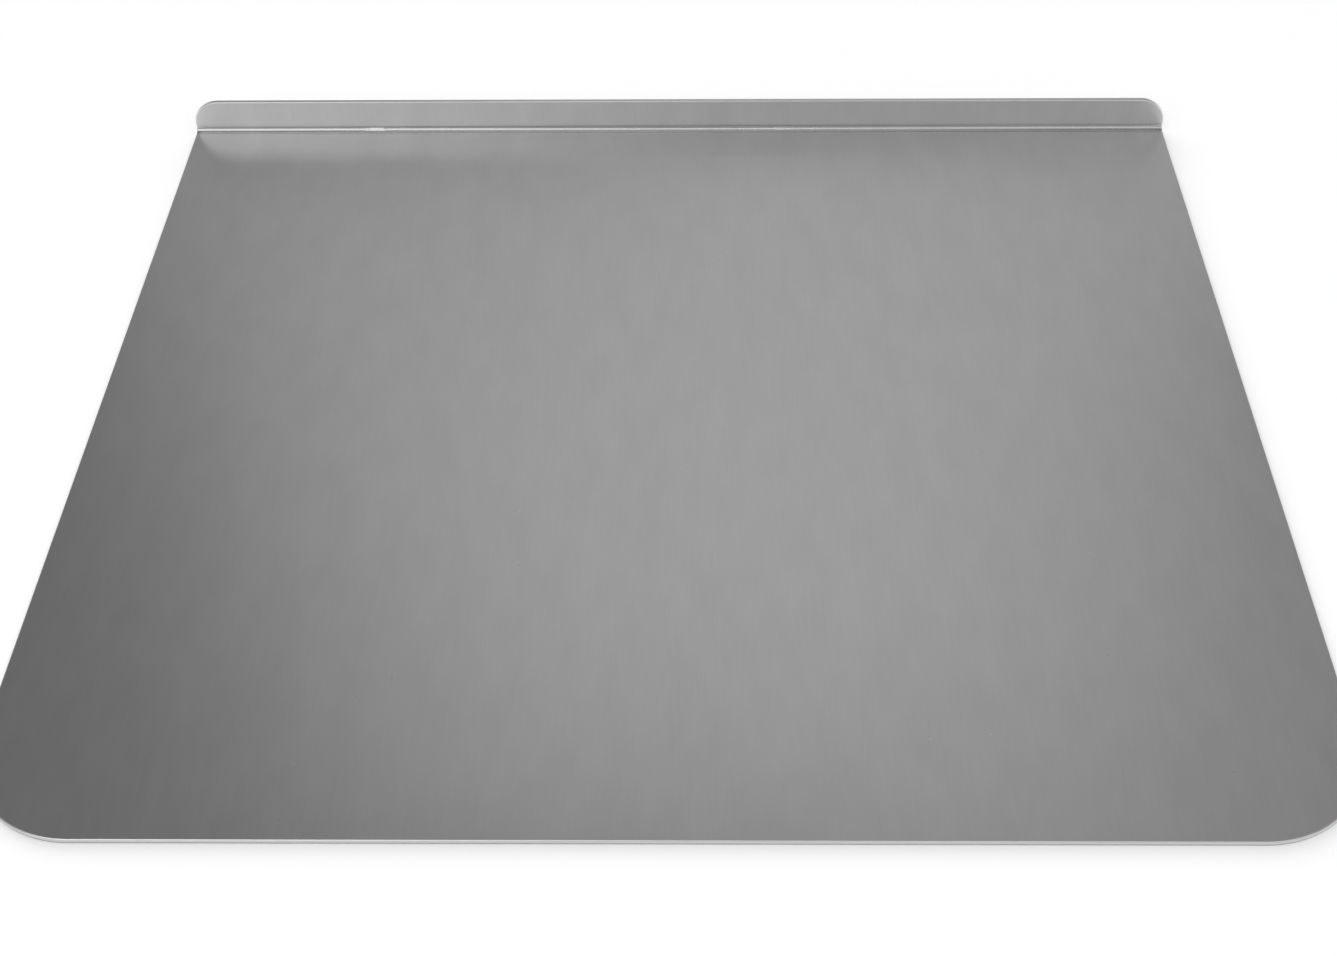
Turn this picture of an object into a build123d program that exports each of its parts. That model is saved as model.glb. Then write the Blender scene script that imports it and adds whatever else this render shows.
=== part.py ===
from build123d import *
import os

# A cookie sheet pressed from one blank of anodised aluminium. Millimetres.
# X runs along the lip, Y from the open front edge back to the lip, and Z up.
# The origin is on the underside, in the middle of the footprint.

# Driving dimensions
sheet_length = 355.6         # along the lip, 14 in
sheet_depth = 304.8          # front edge to the back of the lip, 12 in
gauge = 1.6                  # thickness of the metal, the same through the fold
lip_height = 14.0            # underside of the sheet to the top of the lip
inside_bend_radius = 1.8     # fold, on the baking side
front_corner_radius = 30.0   # corners of the open front edge, seen from above
lip_corner_radius = 10.0     # top corners of the lip, seen from the front
edge_round = 0.45            # tumbled round on both rims of the cut edge

# Sizes that follow from them
front_edge = -sheet_depth / 2
lip_back = sheet_depth / 2
lip_face = lip_back - gauge
outside_bend_radius = inside_bend_radius + gauge
fold_start = lip_back - outside_bend_radius
half_wall_share = 0.49       # most of the gauge that one rim's round may take
rim_round = min(edge_round, gauge * half_wall_share)
lip_corner = min(lip_corner_radius, lip_height - outside_bend_radius)


def folded_section():
    """Section of the sheet and its lip, one gauge thick from the front edge round to the lip's top."""
    with BuildSketch(Plane.YZ) as section:
        with BuildLine():
            Line((front_edge, 0), (fold_start, 0))
            RadiusArc((fold_start, 0), (lip_back, outside_bend_radius), -outside_bend_radius)
            Line((lip_back, outside_bend_radius), (lip_back, lip_height))
            Line((lip_back, lip_height), (lip_face, lip_height))
            Line((lip_face, lip_height), (lip_face, outside_bend_radius))
            RadiusArc((lip_face, outside_bend_radius), (fold_start, gauge), inside_bend_radius)
            Line((fold_start, gauge), (front_edge, gauge))
            Line((front_edge, gauge), (front_edge, 0))
        make_face()
    return section.sketch


def cut_rims(sheet):
    """Both rims of the cut edge. They border the broad faces, which meet in the bend lines."""
    bend_lines = sheet.edges().filter_by(Axis.X).group_by(SortBy.LENGTH)[-1]
    broad_faces = sheet.faces().filter_by(lambda face: bool(face.edges() & bend_lines))
    borders = {edge for face in broad_faces for edge in face.edges()}
    return sheet.edges().filter_by(lambda edge: edge in borders and edge not in bend_lines)


def baking_sheet():
    """The folded blank, with its four corners and both rims of its cut edge rounded."""
    sheet = extrude(folded_section(), amount=sheet_length / 2, dir=Axis.X.direction, both=True)
    front_corners = sheet.edges().filter_by(Axis.Z).group_by(Axis.Y)[0]
    sheet = fillet(front_corners, front_corner_radius)
    lip_corners = sheet.edges().filter_by(Axis.Y).group_by(Axis.Z)[-1]
    sheet = fillet(lip_corners, lip_corner)
    return fillet(cut_rims(sheet), rim_round)


piece = baking_sheet()
piece.label = "baking_sheet"
os.makedirs("parts", exist_ok=True)
export_step(piece, "parts/baking_sheet.step")
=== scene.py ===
import math
import bmesh
import bpy
from mathutils import Matrix, Vector


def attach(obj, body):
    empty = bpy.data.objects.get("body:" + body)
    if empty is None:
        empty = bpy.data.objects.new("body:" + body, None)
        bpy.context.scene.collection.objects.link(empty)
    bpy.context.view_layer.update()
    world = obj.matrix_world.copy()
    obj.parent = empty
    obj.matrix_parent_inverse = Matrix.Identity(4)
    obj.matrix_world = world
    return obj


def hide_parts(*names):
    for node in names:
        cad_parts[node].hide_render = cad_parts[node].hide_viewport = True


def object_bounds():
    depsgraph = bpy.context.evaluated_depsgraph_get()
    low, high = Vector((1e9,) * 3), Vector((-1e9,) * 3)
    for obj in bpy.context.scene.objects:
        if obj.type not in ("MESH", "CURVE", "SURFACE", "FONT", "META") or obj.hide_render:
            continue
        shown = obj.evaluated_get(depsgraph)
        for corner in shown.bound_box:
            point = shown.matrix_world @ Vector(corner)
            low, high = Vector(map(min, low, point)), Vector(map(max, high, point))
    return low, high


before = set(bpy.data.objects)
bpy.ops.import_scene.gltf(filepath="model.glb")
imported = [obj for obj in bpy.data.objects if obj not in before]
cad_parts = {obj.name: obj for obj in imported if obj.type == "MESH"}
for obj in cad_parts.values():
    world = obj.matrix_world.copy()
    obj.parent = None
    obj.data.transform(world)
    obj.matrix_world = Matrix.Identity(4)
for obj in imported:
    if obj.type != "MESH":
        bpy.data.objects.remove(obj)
cadLow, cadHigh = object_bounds()
mm = 0.001
print("frame loaded, box in mm:", [round(high - low, 1) for low, high in zip(cadLow / mm, cadHigh / mm)])


# helpers

def linearColour(hexCode):
    # sRGB hex to the linear RGBA that shaders take
    channels = [int(hexCode[i:i + 2], 16) / 255 for i in (1, 3, 5)]
    linear = [c / 12.92 if c <= 0.04045 else ((c + 0.055) / 1.055) ** 2.4 for c in channels]
    return (*linear, 1.0)


def addNode(tree, kind, inputs=None, **settings):
    # a node with its settings and links: an input is a value, or a (node, output) pair to link from
    node = tree.nodes.new(kind)
    for name, value in settings.items():
        setattr(node, name, value)
    for name, value in (inputs or {}).items():
        if isinstance(value, tuple) and isinstance(value[0], bpy.types.Node):
            tree.links.new(value[0].outputs[value[1]], node.inputs[name])
        else:
            node.inputs[name].default_value = value
    return node


def newMaterial(name):
    material = bpy.data.materials.new(name)
    material.use_nodes = True
    material.node_tree.nodes.clear()
    return material


def addObject(name, data):
    added = bpy.data.objects.new(name, data)
    bpy.context.scene.collection.objects.link(added)
    return added


# the sheet: one blank, folded once

sheet = {
    "gauge": 1.6 * mm,
    "insideBend": 1.8 * mm,
    "frontCorner": 30 * mm,
    "lipCorner": 10 * mm,
    "edgeRound": 0.45 * mm,
    "spring": 0.12 * mm,           # how far the middle of the flat stands off the table
    "overBend": math.radians(2),   # how far the press tipped the lip in, past upright
    "bendSteps": 20,               # facets across each round
    "frontCornerSteps": 60,
    "lipCornerSteps": 32,
    "edgeRoundSteps": 6,
    "rimAngle": math.radians(80),  # an edge that turns more than this is a rim
    "gridStep": 8 * mm,            # faces of the broad flats
    "sameWithin": 0.01 * mm,       # places nearer than this count as one
    "cutWithin": 1e-7,             # and for the straight cuts, in metres
    "skinSlot": 0,
    "cutSlot": 1,
}
sheet["outsideBend"] = sheet["insideBend"] + sheet["gauge"]
sheet["foldStart"] = cadHigh.y - sheet["outsideBend"]
sheet["foldLength"] = (sheet["insideBend"] + sheet["gauge"] / 2) * math.pi / 2

# where the press pinched the inside of the fold flat
pressMarks = {
    "places": [  # middle and length along X, and how far it is pinched, 1 for a true flat
        (-114.6 * mm, 0.7 * mm, 0.7), (-111.0 * mm, 4.6 * mm, 1.0), (37.5 * mm, 3.4 * mm, 0.6),
        (41.4 * mm, 1.2 * mm, 0.5), (49.7 * mm, 0.7 * mm, 0.6),
    ],
    "fade": 0.5 * mm,
    "facing": math.radians(52),  # how far the pinched flat is turned from the sheet towards the lip
    "half": math.radians(18),    # how far it reaches round the fold, each way
}


def near(a, b):
    return abs(a - b) < sheet["sameWithin"]


def edgesWhere(bm, test):
    return [edge for edge in bm.edges if test(edge.verts[0].co, edge.verts[1].co)]


def edgesAlong(bm, y, z):
    # the straight edges parallel to X at that place in the section
    return edgesWhere(bm, lambda a, b: all(near(p.y, y) and near(p.z, z) for p in (a, b)))


def roundEdges(bm, edges, radius, steps):
    made = bmesh.ops.bevel(
        bm, geom=edges, offset=radius, offset_type="OFFSET", segments=steps, profile=0.5,
        affect="EDGES", clamp_overlap=False, material=-1,
    )
    return made["faces"]


def cutAt(bm, axis, places):
    # parallel cuts right across the piece
    for place in places:
        geometry = bm.verts[:] + bm.edges[:] + bm.faces[:]
        bmesh.ops.bisect_plane(
            bm, geom=geometry, dist=sheet["cutWithin"], plane_co=axis * place, plane_no=axis,
        )


def evenly(low, high, step):
    # the places between low and high that part them in equal steps
    count = math.ceil((high - low) / step)
    return [low + (high - low) * i / count for i in range(1, count)]


def fromFoldAxis(s, point):
    # how far back and down a point lies from the fold's axis, how far in all, and the angle it is turned
    back, down = point.y - s["foldStart"], s["outsideBend"] - point.z
    return back, down, math.hypot(back, down), math.atan2(back, down)


def placeOnBlank(s, high, point):
    # where a point was on the flat blank: along it, across it, and up through its gauge
    if point.y <= s["foldStart"]:
        return Vector(point)
    if point.z >= s["outsideBend"]:
        upLip = point.z - s["outsideBend"]
        return Vector((point.x, s["foldStart"] + s["foldLength"] + upLip, high.y - point.y))
    back, down, radius, turned = fromFoldAxis(s, point)
    across = s["foldStart"] + s["foldLength"] * turned / (math.pi / 2)
    return Vector((point.x, across, s["outsideBend"] - radius))


def pinchFold(s, marks, point):
    # flattens the inside of the fold to a chord at each press mark
    back, down, radius, turned = fromFoldAxis(s, point)
    innerQuarter = s["insideBend"] + s["gauge"] / 4
    if back <= 0 or down <= 0 or radius > innerQuarter:
        return
    fromMiddle = turned - marks["facing"]
    if abs(fromMiddle) >= marks["half"]:
        return
    amount = 0
    for middle, length, strength in marks["places"]:
        outside = max(abs(point.x - middle) - length / 2, 0)
        amount = max(amount, strength * (1 - outside / marks["fade"]))
    chord = 1 + (math.cos(marks["half"]) / math.cos(fromMiddle) - 1) * amount
    point.y = s["foldStart"] + back * chord
    point.z = s["outsideBend"] - down * chord


def springUp(s, low, high, point):
    # the flat stands a hair off the table in its middle, and touches it all round
    if point.y < s["foldStart"]:
        along = (point.x - low.x) / (high.x - low.x)
        across = (point.y - low.y) / (s["foldStart"] - low.y)
        point.z += s["spring"] * (math.sin(math.pi * along) * math.sin(math.pi * across)) ** 2


def tipIn(s, point):
    # the lip leans over the flat by a hair
    if point.z > s["outsideBend"]:
        point.y -= (point.z - s["outsideBend"]) * math.tan(s["overBend"])


def foldedSheet(s, marks, low, high):
    # a square-cornered angle, one gauge thick, from the front edge to the top of the lip
    lipFace = high.y - s["gauge"]
    corners = [
        (low.y, 0), (high.y, 0), (high.y, high.z),
        (lipFace, high.z), (lipFace, s["gauge"]), (low.y, s["gauge"]),
    ]
    bm = bmesh.new()
    section = bm.faces.new([bm.verts.new((low.x, y, z)) for y, z in corners])
    grown = bmesh.ops.extrude_face_region(bm, geom=[section])["geom"]
    farEnd = [item for item in grown if isinstance(item, bmesh.types.BMVert)]
    bmesh.ops.translate(bm, verts=farEnd, vec=(high.x - low.x, 0, 0))
    bmesh.ops.recalc_face_normals(bm, faces=bm.faces)

    # the cut edge is both ends, the front and the top of the lip, and the rest is the rolled skin
    for face in bm.faces:
        x, y, z = face.calc_center_median()
        atCut = near(x, low.x) or near(x, high.x) or near(y, low.y) or near(z, high.z)
        face.material_index = s["cutSlot"] if atCut else s["skinSlot"]

    # the fold, outside and inside, with one gauge between the two
    roundEdges(bm, edgesAlong(bm, high.y, 0), s["outsideBend"], s["bendSteps"])
    roundEdges(bm, edgesAlong(bm, lipFace, s["gauge"]), s["insideBend"], s["bendSteps"])

    # the front corners as seen from above, and the lip's corners as seen from the front
    upright = edgesWhere(bm, lambda a, b: near(a.y, low.y) and near(b.y, low.y) and near(a.x, b.x))
    roundEdges(bm, upright, s["frontCorner"], s["frontCornerSteps"])
    lipEnds = edgesWhere(bm, lambda a, b: near(a.z, high.z) and near(b.z, high.z) and near(a.x, b.x))
    roundEdges(bm, lipEnds, s["lipCorner"], s["lipCornerSteps"])

    # both rims of the cut edge, the only edges left that turn a right angle
    rims = [edge for edge in bm.edges if edge.calc_face_angle(0) > s["rimAngle"]]
    for face in roundEdges(bm, rims, s["edgeRound"], s["edgeRoundSteps"]):
        face.material_index = s["cutSlot"]

    # cuts across the broad flats, and at the ends of each press mark
    alongX, alongY = Vector((1, 0, 0)), Vector((0, 1, 0))
    cutAt(bm, alongX, evenly(low.x, high.x, s["gridStep"]))
    cutAt(bm, alongY, evenly(low.y, s["foldStart"], s["gridStep"]))
    for middle, length, strength in marks["places"]:
        start, end = middle - length / 2, middle + length / 2
        cutAt(bm, alongX, [start - marks["fade"], start, end, end + marks["fade"]])

    # the finish follows the flat blank, so that is noted before the sheet is pinched, sprung and tipped
    blank = bm.verts.layers.float_vector.new("blank")
    for vert in bm.verts:
        vert[blank] = placeOnBlank(s, high, vert.co)
        pinchFold(s, marks, vert.co)
        springUp(s, low, high, vert.co)
        tipIn(s, vert.co)
    mesh = bpy.data.meshes.new("foldedSheet")
    bm.to_mesh(mesh)
    bm.free()
    mesh.shade_smooth()
    return mesh


foldedSheetPiece = addObject("foldedSheet", foldedSheet(sheet, pressMarks, cadLow, cadHigh))
flatFaces = foldedSheetPiece.modifiers.new("flatFaces", "WEIGHTED_NORMAL")
flatFaces.weight = 100  # only the largest faces count, so the broad ones look flat up to the rim
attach(foldedSheetPiece, "root")
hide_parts("baking_sheet")
print("folded sheet:", len(foldedSheetPiece.data.polygons), "faces")


# rolled aluminium sheet, silver anodised: a satin grey metal with a soft reflection, faint streaks along
# the rolling direction, fainter clouds from the anodising bath, and a few tiny specks

rolled = {
    "dark": "#c6c6c6",
    "light": "#d0d0d0",
    "cloudTone": (0.3, 0.7),                  # where the clouds lie between dark and light
    "streakTone": (-0.12, 0.12),              # and what the streaks add to that
    "roughness": 0.32,
    "roughnessSpread": 0.012,
    "foldRoughness": 0.25,                    # made smooth by the press's rubbing
    "foldShadeTone": 0.80,                         # share of the tone left in the fold: painted shade that dims the fold's bright line
    "foldFull": 0.4,                          # how far from the middle of the fold that is at its full
    "foldGone": 0.7,                          # and where it ends, both in lengths of the fold
    "streak": (0.7 * mm, 11 * mm, 0.7 * mm),  # width, length, depth; real ones are too fine to show
    "grain": (0.6 * mm, 1.5 * mm, 0.6 * mm),
    "cloud": (9 * mm, 20 * mm, 9 * mm),
    "noiseSpan": (0.3, 0.7),                  # nearly all of a noise lies between these
    "speckSpacing": 8 * mm,
    "speckRadius": 0.35 * mm,
    "speckCore": 0.4,                         # share of the radius that has the full tone
    "specks": [("#b4b4b4", 0, 0.6), ("#dedede", 1, 0.75)],  # tone, draw it goes by, least draw that has one
    "relief": 0.0025 * mm,
}


def noiseOnBlank(tree, blank, size):
    # noise that follows the flat blank, drawn out to a size along it, across it and through it
    perSize = [1 / length for length in size]
    scaled = addNode(tree, "ShaderNodeMapping", {"Vector": (blank, "Vector"), "Scale": perSize})
    return addNode(tree, "ShaderNodeTexNoise", {"Vector": (scaled, "Vector"), "Scale": 1.0, "Detail": 2.0})


def rolledAnodisedAluminium(r, s):
    material = newMaterial("rolledAnodisedAluminium")
    tree = material.node_tree
    blank = addNode(tree, "ShaderNodeAttribute", attribute_name="blank")
    streak, grain, cloud = [noiseOnBlank(tree, blank, r[name]) for name in ("streak", "grain", "cloud")]
    spanLow, spanHigh = r["noiseSpan"]

    # tone of the metal: clouds and streaks about the middle value
    cloudTone = addNode(tree, "ShaderNodeMapRange", {
        "Value": (cloud, 0), "From Min": spanLow, "From Max": spanHigh,
        "To Min": r["cloudTone"][0], "To Max": r["cloudTone"][1],
    })
    streakTone = addNode(tree, "ShaderNodeMapRange", {
        "Value": (streak, 0), "From Min": spanLow, "From Max": spanHigh,
        "To Min": r["streakTone"][0], "To Max": r["streakTone"][1],
    })
    tone = addNode(tree, "ShaderNodeMath", {
        0: (cloudTone, 0), 1: (streakTone, 0),
    }, operation="ADD", use_clamp=True)
    finish = addNode(tree, "ShaderNodeMix", {
        0: (tone, 0), 6: linearColour(r["dark"]), 7: linearColour(r["light"]),
    }, data_type="RGBA")

    # specks: one in each cell of a loose net, some of them pits, some bright and most left out
    perCell = [1 / r["speckSpacing"]] * 3
    spread = addNode(tree, "ShaderNodeMapping", {"Vector": (blank, "Vector"), "Scale": perCell})
    cells = addNode(tree, "ShaderNodeTexVoronoi", {"Vector": (spread, "Vector"), "Scale": 1.0})
    radius = r["speckRadius"] / r["speckSpacing"]
    speck = addNode(tree, "ShaderNodeMapRange", {
        "Value": (cells, "Distance"), "From Min": radius * r["speckCore"], "From Max": radius,
        "To Min": 1.0, "To Max": 0.0,
    })
    draws = addNode(tree, "ShaderNodeSeparateColor", {"Color": (cells, "Color")})
    for speckTone, draw, least in r["specks"]:
        picked = addNode(tree, "ShaderNodeMath", {0: (draws, draw), 1: least}, operation="GREATER_THAN")
        amount = addNode(tree, "ShaderNodeMath", {0: (speck, 0), 1: (picked, 0)}, operation="MULTIPLY")
        finish = addNode(tree, "ShaderNodeMix", {
            0: (amount, 0), 6: (finish, 2), 7: linearColour(speckTone),
        }, data_type="RGBA")

    # streaky on the flats, smoother in the fold, and darker there with painted shade
    streakRoughness = addNode(tree, "ShaderNodeMapRange", {
        "Value": (streak, 0), "From Min": spanLow, "From Max": spanHigh,
        "To Min": r["roughness"] - r["roughnessSpread"], "To Max": r["roughness"] + r["roughnessSpread"],
    })
    across = addNode(tree, "ShaderNodeSeparateXYZ", {0: (blank, "Vector")})
    foldMiddle = s["foldStart"] + s["foldLength"] / 2
    fromMiddle = addNode(tree, "ShaderNodeMath", {0: (across, "Y"), 1: foldMiddle}, operation="SUBTRACT")
    distance = addNode(tree, "ShaderNodeMath", {0: (fromMiddle, 0)}, operation="ABSOLUTE")
    rubbedAndShadedFold = addNode(tree, "ShaderNodeMapRange", {
        "Value": (distance, 0),
        "From Min": s["foldLength"] * r["foldFull"], "From Max": s["foldLength"] * r["foldGone"],
        "To Min": 1.0, "To Max": 0.0,
    }, interpolation_type="SMOOTHSTEP")
    roughness = addNode(tree, "ShaderNodeMix", {
        0: (rubbedAndShadedFold, 0), 2: (streakRoughness, 0), 3: r["foldRoughness"],
    })
    # painted shade: the metal's colour is made darker in the fold and a little beyond it
    foldShade = addNode(tree, "ShaderNodeMix", {0: (rubbedAndShadedFold, 0), 2: 1.0, 3: r["foldShadeTone"]})
    skin = addNode(tree, "ShaderNodeVectorMath", {0: (finish, 2), "Scale": (foldShade, 0)}, operation="SCALE")

    # relief of the grain, streaks and specks
    height = addNode(tree, "ShaderNodeMath", {0: (grain, 0), 1: (streak, 0)}, operation="ADD")
    pitted = addNode(tree, "ShaderNodeMath", {0: (height, 0), 1: (speck, 0)}, operation="SUBTRACT")
    bump = addNode(tree, "ShaderNodeBump", {
        "Height": (pitted, 0), "Distance": r["relief"], "Strength": 1.0,
    })
    shader = addNode(tree, "ShaderNodeBsdfPrincipled", {
        "Base Color": (skin, 0), "Metallic": 1.0, "Roughness": (roughness, 0), "Normal": (bump, 0),
    })
    addNode(tree, "ShaderNodeOutputMaterial", {"Surface": (shader, "BSDF")})
    return material


# the cut edge of the same sheet, blanked and tumbled: a smooth bright band where the punch sheared it, and
# under that a duller torn band with fine marks through the gauge, whose colour is also darkened with
# painted shade for the table's shadow that it mirrors

cutEdge = {
    "sheared": "#d6d6d6",
    # the torn band's dark colour is partly its duller metal and partly painted shade
    "tornAndShaded": "#8e8e8e",
    "shearedRoughness": 0.30,
    "tornRoughness": 0.48,
    "tornUpTo": 0.6 * mm,                  # measured up from the underside
    "waver": 0.12 * mm,
    "mark": (0.5 * mm, 0.5 * mm, 6 * mm),  # real ones are about 0.1 mm apart, too fine to show
    "relief": 0.006 * mm,
}


def blankedAluminiumEdge(e):
    material = newMaterial("blankedAluminiumEdge")
    tree = material.node_tree
    blank = addNode(tree, "ShaderNodeAttribute", attribute_name="blank")
    marks = noiseOnBlank(tree, blank, e["mark"])
    through = addNode(tree, "ShaderNodeSeparateXYZ", {0: (blank, "Vector")})
    border = addNode(tree, "ShaderNodeMath", {
        0: (marks, 0), 1: 2 * e["waver"], 2: e["tornUpTo"] - e["waver"],
    }, operation="MULTIPLY_ADD")
    above = addNode(tree, "ShaderNodeMath", {0: (through, "Z"), 1: (border, 0)}, operation="SUBTRACT")
    sheared = addNode(tree, "ShaderNodeMapRange", {
        "Value": (above, 0), "From Min": -e["waver"] / 2, "From Max": e["waver"] / 2,
    })
    # the lower band is darker partly as painted shade, for the shaded table that the edge mirrors
    metal = addNode(tree, "ShaderNodeMix", {
        0: (sheared, 0), 6: linearColour(e["tornAndShaded"]), 7: linearColour(e["sheared"]),
    }, data_type="RGBA")
    roughness = addNode(tree, "ShaderNodeMapRange", {
        "Value": (sheared, 0), "To Min": e["tornRoughness"], "To Max": e["shearedRoughness"],
    })
    bump = addNode(tree, "ShaderNodeBump", {
        "Height": (marks, 0), "Distance": e["relief"], "Strength": 1.0,
    })
    shader = addNode(tree, "ShaderNodeBsdfPrincipled", {
        "Base Color": (metal, 2), "Metallic": 1.0, "Roughness": (roughness, 0), "Normal": (bump, 0),
    })
    addNode(tree, "ShaderNodeOutputMaterial", {"Surface": (shader, "BSDF")})
    return material


# in the order of skinSlot and cutSlot
foldedSheetPiece.data.materials.append(rolledAnodisedAluminium(rolled, sheet))
foldedSheetPiece.data.materials.append(blankedAluminiumEdge(cutEdge))
print("finish: rolled skin and cut edge")


# the table: matt white laminate, brought up to white for the camera and for reflections; the lift is held
# back where the edge of the sheet stands between the table and the light, so the soft contact shadow stays

table = {
    "colour": "#f2f2f2",
    "size": 6.0,                          # metres, as are farFrom and farTo
    "below": 0.05 * mm,                   # kept clear of the underside
    "lift": 0.455,
    "towardsLight": (-0.37, 0.91, 0.18),  # the side that the occlusion looks to
    "shadowReach": 28 * mm,
    "shadowSamples": 16,
    "open": 0.95,                         # what the occlusion reads where the shadow ends
    "closed": 0.62,                       # and where it is full
    "shadow": 0.195,                      # how much darker the full shadow is, of white
    "farLift": 0.28,                      # lift added further out, where the lamps reach less
    "farFrom": 0.35,
    "farTo": 1.6,
}


def mattWhiteLaminate(t):
    material = newMaterial("mattWhiteLaminate")
    tree = material.node_tree
    matt = addNode(tree, "ShaderNodeBsdfDiffuse", {"Color": linearColour(t["colour"])})

    # the lift, less in the shadow and more further out
    towards = Vector(t["towardsLight"]).normalized()
    direction = addNode(tree, "ShaderNodeCombineXYZ", {"X": towards.x, "Y": towards.y, "Z": towards.z})
    unhidden = addNode(tree, "ShaderNodeAmbientOcclusion", {
        "Distance": t["shadowReach"], "Normal": (direction, 0),
    }, samples=t["shadowSamples"])
    nearLift = addNode(tree, "ShaderNodeMapRange", {
        "Value": (unhidden, "AO"), "From Min": t["closed"], "From Max": t["open"],
        "To Min": t["lift"] - t["shadow"], "To Max": t["lift"],
    })
    place = addNode(tree, "ShaderNodeTexCoord")
    fromSheet = addNode(tree, "ShaderNodeVectorMath", {0: (place, "Object")}, operation="LENGTH")
    farLift = addNode(tree, "ShaderNodeMapRange", {
        "Value": (fromSheet, "Value"), "From Min": t["farFrom"], "From Max": t["farTo"],
        "To Max": t["farLift"],
    })
    lift = addNode(tree, "ShaderNodeMath", {0: (nearLift, 0), 1: (farLift, 0)}, operation="ADD")

    # only camera, glossy and transmission rays see it
    path = addNode(tree, "ShaderNodeLightPath")
    seen = addNode(tree, "ShaderNodeMath", {
        0: (path, "Is Camera Ray"), 1: (path, "Is Glossy Ray"),
    }, operation="ADD")
    seen = addNode(tree, "ShaderNodeMath", {
        0: (seen, 0), 1: (path, "Is Transmission Ray"),
    }, operation="ADD", use_clamp=True)
    strength = addNode(tree, "ShaderNodeMath", {0: (seen, 0), 1: (lift, 0)}, operation="MULTIPLY")
    lifted = addNode(tree, "ShaderNodeEmission", {"Strength": (strength, 0)})
    both = addNode(tree, "ShaderNodeAddShader", {0: (matt, 0), 1: (lifted, 0)})

    # seen from below the table is clear, so that the underside can be looked at
    side = addNode(tree, "ShaderNodeNewGeometry")
    clear = addNode(tree, "ShaderNodeBsdfTransparent")
    result = addNode(tree, "ShaderNodeMixShader", {0: (side, "Backfacing"), 1: (both, 0), 2: (clear, 0)})
    addNode(tree, "ShaderNodeOutputMaterial", {"Surface": (result, 0)})
    return material


def whiteTable(t):
    bm = bmesh.new()
    bmesh.ops.create_grid(bm, x_segments=1, y_segments=1, size=t["size"] / 2)
    bmesh.ops.translate(bm, verts=bm.verts, vec=(0, 0, -t["below"]))
    mesh = bpy.data.meshes.new("table")
    bm.to_mesh(mesh)
    bm.free()
    mesh.materials.append(mattWhiteLaminate(t))
    return mesh


tableTop = addObject("tableTop", whiteTable(table))


# soft studio light: angles are round from straight behind the sheet (+Y), and up from the table

lampDistance = 3.0
lamps = [
    {"name": "lowLeft", "round": -10, "up": 28, "width": 1.2, "height": 0.8, "radiance": 0.22},
    {"name": "lowRight", "round": 13, "up": 28, "width": 1.2, "height": 0.8, "radiance": 0.31},
    {"name": "backLeft", "round": -17, "up": 47.5, "width": 0.7, "height": 1.4, "radiance": 0.41},
    {"name": "back", "round": 0, "up": 47.5, "width": 0.7, "height": 1.4, "radiance": 0.45},
    {"name": "backRight", "round": 17, "up": 47.5, "width": 0.7, "height": 1.4, "radiance": 0.42},
    {"name": "farRight", "round": 38, "up": 54, "width": 1.0, "height": 1.6, "radiance": 0.19},
    {"name": "overhead", "round": 180, "up": 82, "width": 1.4, "height": 1.4, "radiance": 0.60},
    {"name": "sideLeft", "round": -95, "up": 48, "width": 2.4, "height": 1.8, "radiance": 0.40},
    {"name": "sideRight", "round": 95, "up": 48, "width": 2.4, "height": 1.8, "radiance": 0.45},
    {"name": "frontLeft", "round": -146, "up": 45, "width": 2.3, "height": 2.2, "radiance": 1.5},
    {"name": "front", "round": 180, "up": 45, "width": 1.3, "height": 2.2, "radiance": 0.20},
    {"name": "frontRight", "round": 146, "up": 45, "width": 2.3, "height": 2.2, "radiance": 0.82},
]
studio = {
    "paint": "#ffffff",
    "horizon": 1.0,                 # white wall seen low down, at its palest behind and on the right
    "brightSide": (0.6, 0.8, 0.0),
    "dimSide": 0.55,                # share of that on the opposite side
    "turn": 0.5,                    # how far to either side the wall goes from bright to dim
    "ceiling": 0.125,
    "horizonTop": 0.20,             # sine of the height where the wall starts to fade
    "fadeEnd": 0.50,                # and of the height where only the ceiling is left
    "backdrop": 1.0,
}


def softbox(lamp):
    light = bpy.data.lights.new(lamp["name"], "AREA")
    light.shape = "RECTANGLE"
    light.size = lamp["width"]
    light.size_y = lamp["height"]
    light.energy = lamp["radiance"] * math.pi * lamp["width"] * lamp["height"]
    placed = addObject(lamp["name"], light)
    placed.visible_camera = False  # views from low down look past the sheet at the lamps
    around, up = math.radians(lamp["round"]), math.radians(lamp["up"])
    direction = Vector((math.sin(around) * math.cos(up), math.cos(around) * math.cos(up), math.sin(up)))
    placed.location = direction * lampDistance
    placed.rotation_euler = direction.to_track_quat("Z", "Y").to_euler()


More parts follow.
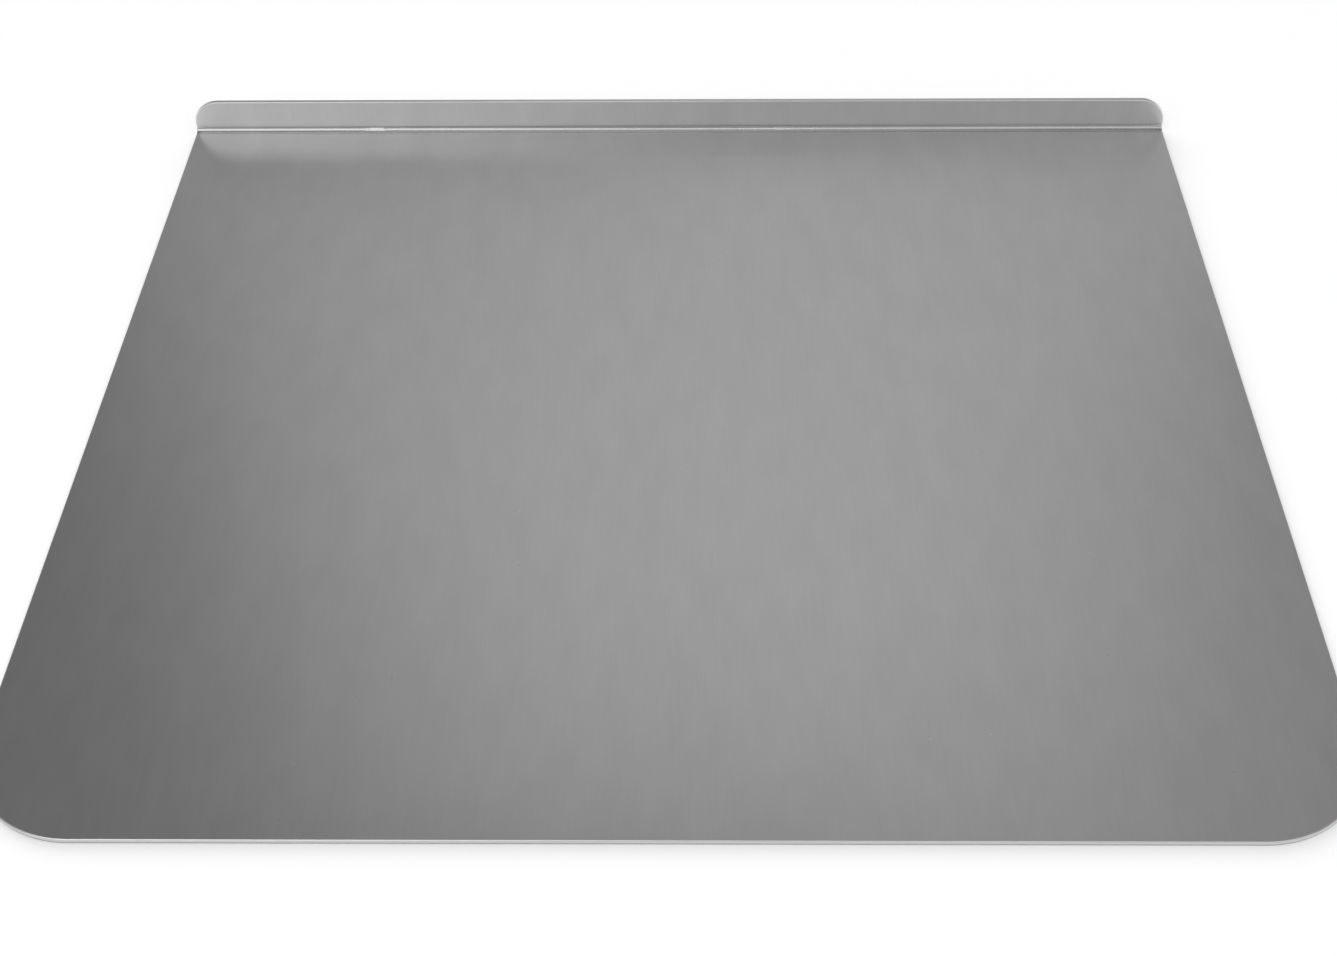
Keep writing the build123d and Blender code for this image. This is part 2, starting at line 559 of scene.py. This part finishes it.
def studioWorld(s):
    world = bpy.data.worlds.new("studio")
    world.use_nodes = True
    tree = world.node_tree
    tree.nodes.clear()
    direction = addNode(tree, "ShaderNodeTexCoord")
    height = addNode(tree, "ShaderNodeSeparateXYZ", {0: (direction, "Generated")})
    side = addNode(tree, "ShaderNodeVectorMath", {
        0: (direction, "Generated"), 1: s["brightSide"],
    }, operation="DOT_PRODUCT")
    wall = addNode(tree, "ShaderNodeMapRange", {
        "Value": (side, "Value"), "From Min": -s["turn"], "From Max": s["turn"],
        "To Min": s["horizon"] * s["dimSide"], "To Max": s["horizon"],
    }, interpolation_type="SMOOTHSTEP")
    level = addNode(tree, "ShaderNodeMapRange", {
        "Value": (height, "Z"), "From Min": s["horizonTop"], "From Max": s["fadeEnd"],
        "To Min": (wall, 0), "To Max": s["ceiling"],
    }, interpolation_type="SMOOTHSTEP")

    # the camera sees white all round; the metal mirrors the walls and the ceiling as they are lit
    path = addNode(tree, "ShaderNodeLightPath")
    direct = addNode(tree, "ShaderNodeMath", {
        0: (path, "Is Camera Ray"), 1: (path, "Is Transmission Ray"),
    }, operation="ADD", use_clamp=True)
    seen = addNode(tree, "ShaderNodeMix", {0: (direct, 0), 2: (level, 0), 3: s["backdrop"]})
    background = addNode(tree, "ShaderNodeBackground", {
        "Color": linearColour(s["paint"]), "Strength": (seen, 0),
    })
    addNode(tree, "ShaderNodeOutputWorld", {"Surface": (background, 0)})
    return world


for lamp in lamps:
    softbox(lamp)
bpy.context.scene.world = studioWorld(studio)
bpy.context.scene.view_settings.view_transform = "Standard"
print("light:", len(lamps), "softboxes and the studio walls")


# the camera: pixels are those of the 1337 x 956 frame

view = {
    "place": Vector((10.2, -381.3, 366.5)) * mm,
    "turnedLeft": math.radians(0.95),
    "tippedDown": math.radians(45.93),
    "rolledRight": math.radians(0.70),
    "focalPixels": 1715,
    "frameWidth": 1337,
    "axisPixel": 686,        # the column that the lens axis falls on
    "sensorWidth": 36,       # camera millimetres, which Blender takes as they are
    "nearestSeen": 10 * mm,
}


def photoCamera(v):
    lens = bpy.data.cameras.new("camera")
    lens.sensor_width = v["sensorWidth"]
    lens.lens = v["sensorWidth"] * v["focalPixels"] / v["frameWidth"]
    lens.shift_x = (v["frameWidth"] / 2 - v["axisPixel"]) / v["frameWidth"]
    lens.clip_start = v["nearestSeen"]
    placed = addObject("camera", lens)
    turned = Matrix.Rotation(v["turnedLeft"], 4, "Z")
    tipped = Matrix.Rotation(math.pi / 2 - v["tippedDown"], 4, "X")
    rolledOver = Matrix.Rotation(-v["rolledRight"], 4, "Z")
    placed.matrix_world = Matrix.Translation(v["place"]) @ turned @ tipped @ rolledOver
    return placed


bpy.context.scene.camera = photoCamera(view)
